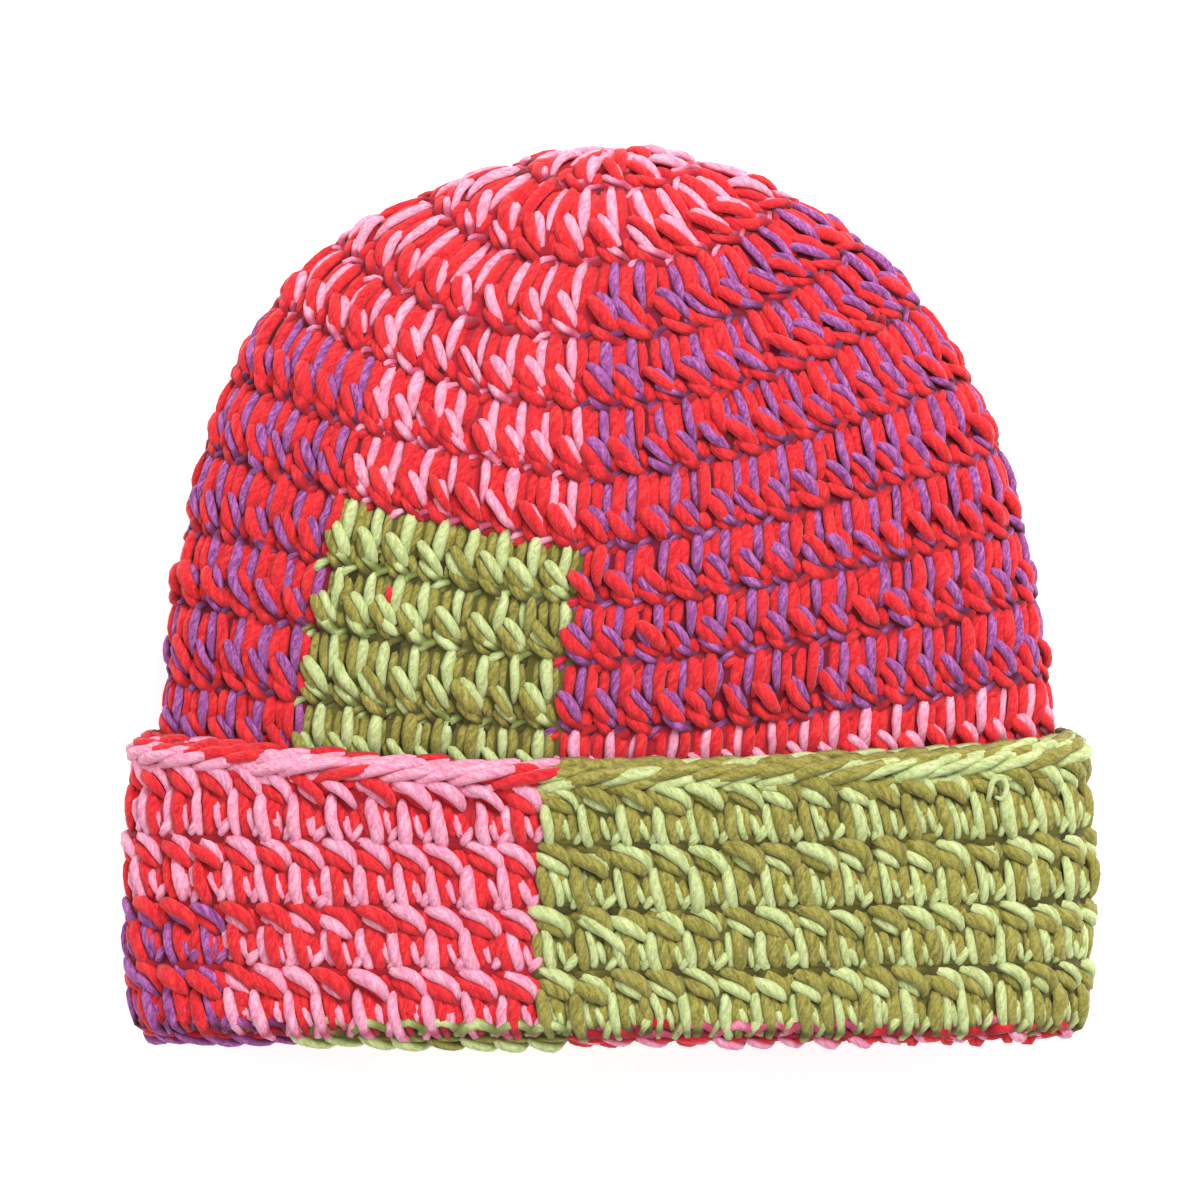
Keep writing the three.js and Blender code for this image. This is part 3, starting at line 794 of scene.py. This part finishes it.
def yarn_material(name, shaded, deep, plain, light):
    """Soft single-ply yarn. Fibres run along it, some deeper and some lighter than its plain colour, and
    it has painted shade where it lies low between the strands, by the attribute that the mesh carries."""
    material = bpy.data.materials.new(name)
    material.use_nodes = True
    tree = material.node_tree
    shader = tree.nodes["Principled BSDF"]
    along = node(tree, "ShaderNodeAttribute", attribute_name="yarn")
    stretch = node(tree, "ShaderNodeMapping", {"Vector": along.outputs["Vector"], "Scale": FIBRE_SCALE})
    fibres = node(tree, "ShaderNodeTexNoise", {"Vector": stretch.outputs["Vector"], **FIBRE_NOISE})
    ramp = node(tree, "ShaderNodeValToRGB", {"Fac": fibres.outputs["Fac"]})
    ramp.color_ramp.elements[0].position = 0.5 - STREAK
    ramp.color_ramp.elements[0].color = deep
    ramp.color_ramp.elements[1].position = 0.5 + STREAK
    ramp.color_ramp.elements[1].color = light
    middle = ramp.color_ramp.elements.new(0.5)
    middle.color = plain
    # Painted shade: darker where the height attribute is low, darkest along the lines between rounds
    height = node(tree, "ShaderNodeAttribute", attribute_name="height").outputs["Fac"]
    lit = smooth_range(tree, height, LIT_HEIGHTS)
    reached = smooth_range(tree, height, REACHED_HEIGHTS)
    dim = node(tree, "ShaderNodeMix", {"Factor": reached}, data_type="RGBA")
    dim.inputs["A"].default_value = darker(shaded, LINE_DARKNESS)
    dim.inputs["B"].default_value = shaded
    mix = node(tree, "ShaderNodeMix", {"Factor": lit}, data_type="RGBA")
    tree.links.new(dim.outputs["Result"], mix.inputs["A"])
    tree.links.new(ramp.outputs["Color"], mix.inputs["B"])
    tree.links.new(mix.outputs["Result"], shader.inputs["Base Color"])
    bump = node(tree, "ShaderNodeBump", {"Height": fibres.outputs["Fac"], **FIBRE_GROOVES})
    tree.links.new(bump.outputs["Normal"], shader.inputs["Normal"])
    shader.inputs["Roughness"].default_value = 0.85
    shader.inputs["Sheen Weight"].default_value = 0.3
    shader.inputs["Sheen Roughness"].default_value = 0.6
    tint = tuple(1 - SHEEN_DYE * (1 - value) for value in light[:3]) + (1,)
    shader.inputs["Sheen Tint"].default_value = tint
    shader.inputs["Specular IOR Level"].default_value = 0.2
    return material


# How the core is mottled, and the share of its light that its darkest places keep
CORE_MOTTLE = {"Scale": 500.0, "Detail": 3.0}
CORE_DARKNESS = 0.4


def core_material(name, colour):
    """The inside of the fabric, in a dark colour that is painted shade, mottled as packed yarn is."""
    material = bpy.data.materials.new(name)
    material.use_nodes = True
    tree = material.node_tree
    shader = tree.nodes["Principled BSDF"]
    place = node(tree, "ShaderNodeTexCoord")
    mottle = node(tree, "ShaderNodeTexNoise", {"Vector": place.outputs["Object"], **CORE_MOTTLE})
    mix = node(tree, "ShaderNodeMix", {"Factor": mottle.outputs["Fac"]}, data_type="RGBA")
    mix.inputs["A"].default_value = darker(colour, CORE_DARKNESS)
    mix.inputs["B"].default_value = colour
    tree.links.new(mix.outputs["Result"], shader.inputs["Base Color"])
    shader.inputs["Roughness"].default_value = 1.0
    return material


# The yarns, as seen on screen: shaded, which is the painted shade colour where a yarn lies low, then deep,
# plain and light
YARNS = {
    "red": [(160, 10, 32), (192, 18, 40), (225, 36, 46), (244, 62, 58)],
    "pink": [(190, 66, 100), (222, 122, 156), (242, 158, 188), (251, 190, 210)],
    "purple": [(108, 30, 78), (112, 50, 116), (157, 80, 152), (192, 116, 188)],
    "olive": [(76, 70, 20), (115, 108, 42), (149, 142, 62), (176, 168, 92)],
    "light_green": [(114, 124, 54), (164, 176, 106), (196, 209, 142), (216, 228, 170)],
}
RED, PINK, PURPLE, OLIVE, LIME = (
    yarn_material("yarn_" + name, *(linear(*shade) for shade in shades)) for name, shades in YARNS.items())

# Each pair's dark and pale yarns, and its core, whose dark colour is painted shade in the gaps between
# strands
MARLS = {
    "marl_red_pink": [RED, PINK, core_material("core_red", linear(204, 40, 58))],
    "marl_red_purple": [RED, PURPLE, core_material("core_plum", linear(140, 24, 54))],
    "marl_green": [OLIVE, LIME, core_material("core_olive", linear(114, 110, 46))],
}

# The patches: rounds from the crown, stitches from the left side fold
PATCHES = [
    {"name": "crown_top", "slot": "marl_red_pink", "from": 0, "to": 2, "left": 0, "right": 60},
    {"name": "crown_left", "slot": "marl_red_pink", "from": 2, "to": 4, "left": -15, "right": 15},
    {"name": "front_pink", "slot": "marl_red_pink", "from": 4, "to": 6, "left": 7, "right": 15},
    {"name": "right_purple", "slot": "marl_red_purple", "from": 2, "to": 9, "left": 15, "right": 45},
    {"name": "left_purple", "slot": "marl_red_purple", "from": 4, "to": 10, "left": -7, "right": 7},
    {"name": "front_green", "slot": "marl_green", "from": 6, "to": 10, "left": 7, "right": 15},
    {"name": "right_pink_row", "slot": "marl_red_pink", "from": 9, "to": 10, "left": 15, "right": 45},
    {"name": "back_pink", "slot": "marl_red_pink", "from": 4, "to": 6, "left": 45, "right": 53},
    {"name": "back_green", "slot": "marl_green", "from": 6, "to": 10, "left": 45, "right": 53},
    {"name": "hem_purple", "slot": "marl_red_purple", "from": 10, "to": 14, "left": -7, "right": 7},
    {"name": "hem_green", "slot": "marl_green", "from": 10, "to": 14, "left": 7, "right": 15},
    {"name": "hem_pink", "slot": "marl_red_pink", "from": 10, "to": 14, "left": 15, "right": 45},
    {"name": "hem_back_green", "slot": "marl_green", "from": 10, "to": 14, "left": 45, "right": 53},
    {"name": "cuff_purple", "slot": "marl_red_purple", "from": 14, "to": 16, "left": -5, "right": 5},
    {"name": "cuff_pink_front", "slot": "marl_red_pink", "from": 14, "to": 16, "left": 5, "right": 14},
    {"name": "cuff_pink_back", "slot": "marl_red_pink", "from": 14, "to": 16, "left": 44, "right": 55},
    {"name": "cuff_pink_upper", "slot": "marl_red_pink", "from": 16, "to": 18, "left": -16, "right": 14},
    {"name": "cuff_green", "slot": "marl_green", "from": 14, "to": 18, "left": 14, "right": 44},
    {"name": "rim_pink", "slot": "marl_red_pink", "from": 18, "to": 19, "left": -16, "right": 14},
    {"name": "rim_green", "slot": "marl_green", "from": 18, "to": 19, "left": 14, "right": 44},
]


def make_patch(patch, seed):
    """One patch of crochet, as the piece that stands for its solid."""
    rng = np.random.default_rng(seed)
    mesh = Mesh()
    is_rim = patch["from"] >= RIM_ROUND
    is_cuff = CUFF_START <= patch["from"] < RIM_ROUND
    is_hem = BODY_ROUNDS <= patch["from"] < CUFF_START
    stitches = stitches_of(patch, rng)
    add_core(mesh, patch)
    if is_rim:
        for strand in RIM_CHAIN:
            add_strands(mesh, stitches, strand, rng, False, True)
    elif is_cuff:
        above_fold = some_of(stitches, stitches["row"] > CUFF_START)
        for strand in WRONG_SIDE:
            chosen = above_fold if strand["name"] == "row_fill" else stitches
            add_strands(mesh, chosen, strand, rng, False, True)
    elif is_hem:
        last_round = stitches["row"] == HEM_LAST
        for strand in [*WRONG_SIDE[:PLAIN_STRANDS], HEM_FILL]:
            add_strands(mesh, some_of(stitches, ~last_round), strand, rng, False, False)
            add_strands(mesh, some_of(stitches, last_round), strand, rng, False, True)
        add_strands(mesh, some_of(stitches, last_round), FOLD_LOOP, rng, False, True)
    else:
        for strand in RIGHT_SIDE:
            add_strands(mesh, stitches, strand, rng, True, True)
        for strand in WRONG_SIDE[:PLAIN_STRANDS]:
            add_strands(mesh, stitches, strand, rng, False, False)
    for loose in LOOSE_YARNS:
        if loose["patch"] == patch["name"]:
            add_loose_yarn(mesh, loose, rng)
    piece = mesh.build("crochet_" + patch["name"], MARLS[patch["slot"]])
    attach(piece, "root")
    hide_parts(patch["name"])


for seed, patch in enumerate(PATCHES):
    make_patch(patch, seed)


# Half the floor's width in metres, its colour, how strongly it glows, and the strength of the light from
# all round
FLOOR_HALF = 3.0
FLOOR_COLOUR = (0.9, 0.89, 0.885, 1)
FLOOR_GLOW = 0.55
WORLD_STRENGTH = 0.55

# The place of each light and its size, both in metres, its power in watts and its colour, and then the
# point that both are aimed at
LIGHTS = {
    "key": ((0.45, 0.75, 1.0), 0.6, 16.2, (1.0, 0.98, 0.95)),
    "fill": ((-0.8, -0.2, 1.0), 1.2, 3, (0.96, 0.98, 1.0)),
}
LIGHTS_AIM = (0, 0, 0.02)


def make_floor():
    """A plain white surface that glows a little and reaches FLOOR_HALF to each side of the hat."""
    mesh = bpy.data.meshes.new("floor")
    corners = [(-1, -1), (1, -1), (1, 1), (-1, 1)]
    mesh.from_pydata([(x * FLOOR_HALF, y * FLOOR_HALF, 0) for x, y in corners], [], [(0, 1, 2, 3)])
    material = bpy.data.materials.new("floor_white")
    material.use_nodes = True
    shader = material.node_tree.nodes["Principled BSDF"]
    shader.inputs["Base Color"].default_value = FLOOR_COLOUR
    shader.inputs["Roughness"].default_value = 0.9
    shader.inputs["Emission Color"].default_value = (1, 1, 1, 1)
    shader.inputs["Emission Strength"].default_value = FLOOR_GLOW
    mesh.materials.append(material)
    floor = bpy.data.objects.new("floor", mesh)
    bpy.context.collection.objects.link(floor)


def make_area_light(name, place, size, power, colour):
    """A soft light aimed at the middle of the hat."""
    data = bpy.data.lights.new(name, "AREA")
    data.energy = power
    data.size = size
    data.color = colour
    light = bpy.data.objects.new(name, data)
    light.location = place
    light.rotation_euler = (Vector(LIGHTS_AIM) - Vector(place)).to_track_quat("-Z", "Y").to_euler()
    bpy.context.collection.objects.link(light)


def make_world():
    """Even white light from all round."""
    world = bpy.data.worlds.new("studio")
    world.use_nodes = True
    world.node_tree.nodes["Background"].inputs["Color"].default_value = (1, 1, 1, 1)
    world.node_tree.nodes["Background"].inputs["Strength"].default_value = WORLD_STRENGTH
    bpy.context.scene.world = world


# The photograph is taken straight from above: the width that it shows and its middle on the hat, and the
# height at which that is measured, in metres, with a lens and a sensor in millimetres
PHOTO_WIDTH = 0.3048
PHOTO_CENTRE = (-0.0023, -0.0019)
PHOTO_PLANE = 0.025
LENS = 100
SENSOR = 36


def make_camera():
    """Straight above the hat, crown up in the picture, framed as the photograph is."""
    data = bpy.data.cameras.new("camera")
    data.lens = LENS
    data.sensor_width = SENSOR
    camera = bpy.data.objects.new("camera", data)
    camera.location = (*PHOTO_CENTRE, PHOTO_PLANE + PHOTO_WIDTH * LENS / SENSOR)
    bpy.context.collection.objects.link(camera)
    bpy.context.scene.camera = camera


make_floor()
make_world()
for name, (place, size, power, colour) in LIGHTS.items():
    make_area_light(name, place, size, power, colour)
make_camera()
bpy.context.scene.view_settings.view_transform = "Standard"
